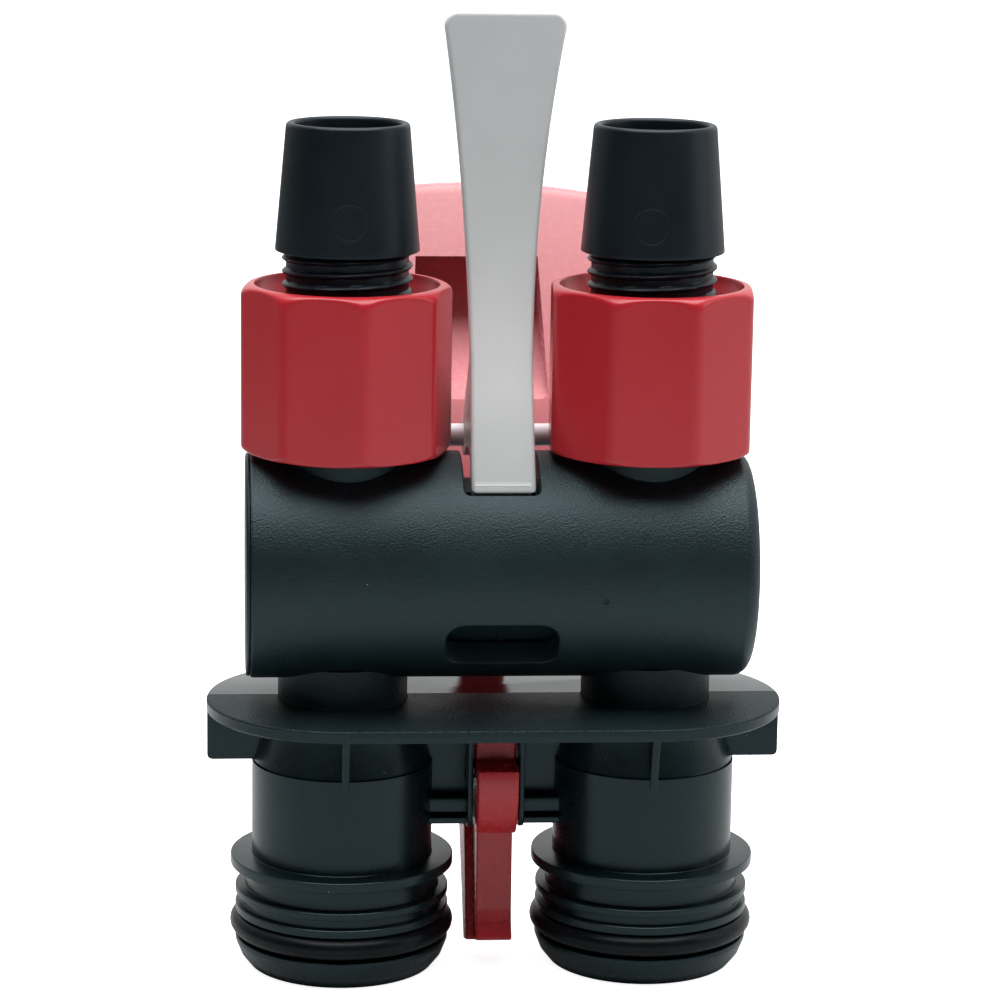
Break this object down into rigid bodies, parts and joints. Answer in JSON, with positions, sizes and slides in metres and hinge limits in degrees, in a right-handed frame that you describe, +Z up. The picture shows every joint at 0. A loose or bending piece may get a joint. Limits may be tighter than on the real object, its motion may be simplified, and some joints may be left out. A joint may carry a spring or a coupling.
{
  "type": "twin hose shut-off valve block",
  "caption": "Twin-hose shut-off block with a barrel valve, tapered hose nozzles, octagonal union nuts, sealed plugs, a water-stop lever and a lock lever.",
  "frame": {"origin": "midway between the two plugs' axes, on the underside of the plug plate, which seats on the pump head", "axes": "+Z up along the flow axes, towards the hose nozzles; +X to the right seen from the side that the grey lever faces; +Y towards the red lock lever"},
  "size_m": [0.0758, 0.075, 0.126],
  "materials": {
    "black_plastic": "satin moulded, fine grain on the housing",
    "red_plastic": "semi-gloss moulded",
    "grey_plastic": "smooth satin",
    "rubber": "smooth moulded",
    "steel": "plain"
  },
  "bodies": {
    "block": {"plug_plate": "black_plastic", "valve_housing": "black_plastic", "end_cap": "black_plastic", "end_cap_oring": "rubber", "left_upper_port_seal": "rubber", "left_lower_port_seal": "rubber", "right_upper_port_seal": "rubber", "right_lower_port_seal": "rubber", "left_hose_nozzle": "black_plastic", "right_hose_nozzle": "black_plastic", "left_nozzle_oring": "rubber", "right_nozzle_oring": "rubber", "left_spigot_oring": "rubber", "right_spigot_oring": "rubber", "left_plug_oring": "rubber", "right_plug_oring": "rubber", "lock_pin": "steel"},
    "water_stop": {"water_stop_lever": "grey_plastic", "lever_cross_bar": "grey_plastic", "valve_barrel": "black_plastic", "barrel_oring_1": "rubber", "barrel_oring_2": "rubber", "barrel_oring_3": "rubber", "barrel_oring_4": "rubber"},
    "lock": {"lock_lever": "red_plastic"},
    "left_nut": {"left_union_nut": "red_plastic"},
    "right_nut": {"right_union_nut": "red_plastic"}
  },
  "joints": [
    {"name": "water_stop_turn", "type": "hinge", "parent": "block", "child": "water_stop", "pos_m": [0, 0, 0.0195], "axis": [-1, 0, 0], "range_deg": [0, 90]},
    {"name": "lock_fold", "type": "hinge", "parent": "block", "child": "lock", "pos_m": [0, -0.001, -0.008], "axis": [-1, 0, 0], "range_deg": [0, 45]},
    {"name": "left_nut_turn", "type": "hinge", "parent": "block", "child": "left_nut", "pos_m": [-0.0197, 0, 0.04], "axis": [0, 0, 1], "range_deg": [0, 720]},
    {"name": "right_nut_turn", "type": "hinge", "parent": "block", "child": "right_nut", "pos_m": [0.0197, 0, 0.04], "axis": [0, 0, 1], "range_deg": [0, 720]}
  ],
  "couplings": [
    {"joint": "lock_fold", "follows": "water_stop_turn", "ratio": 0.5}
  ]
}
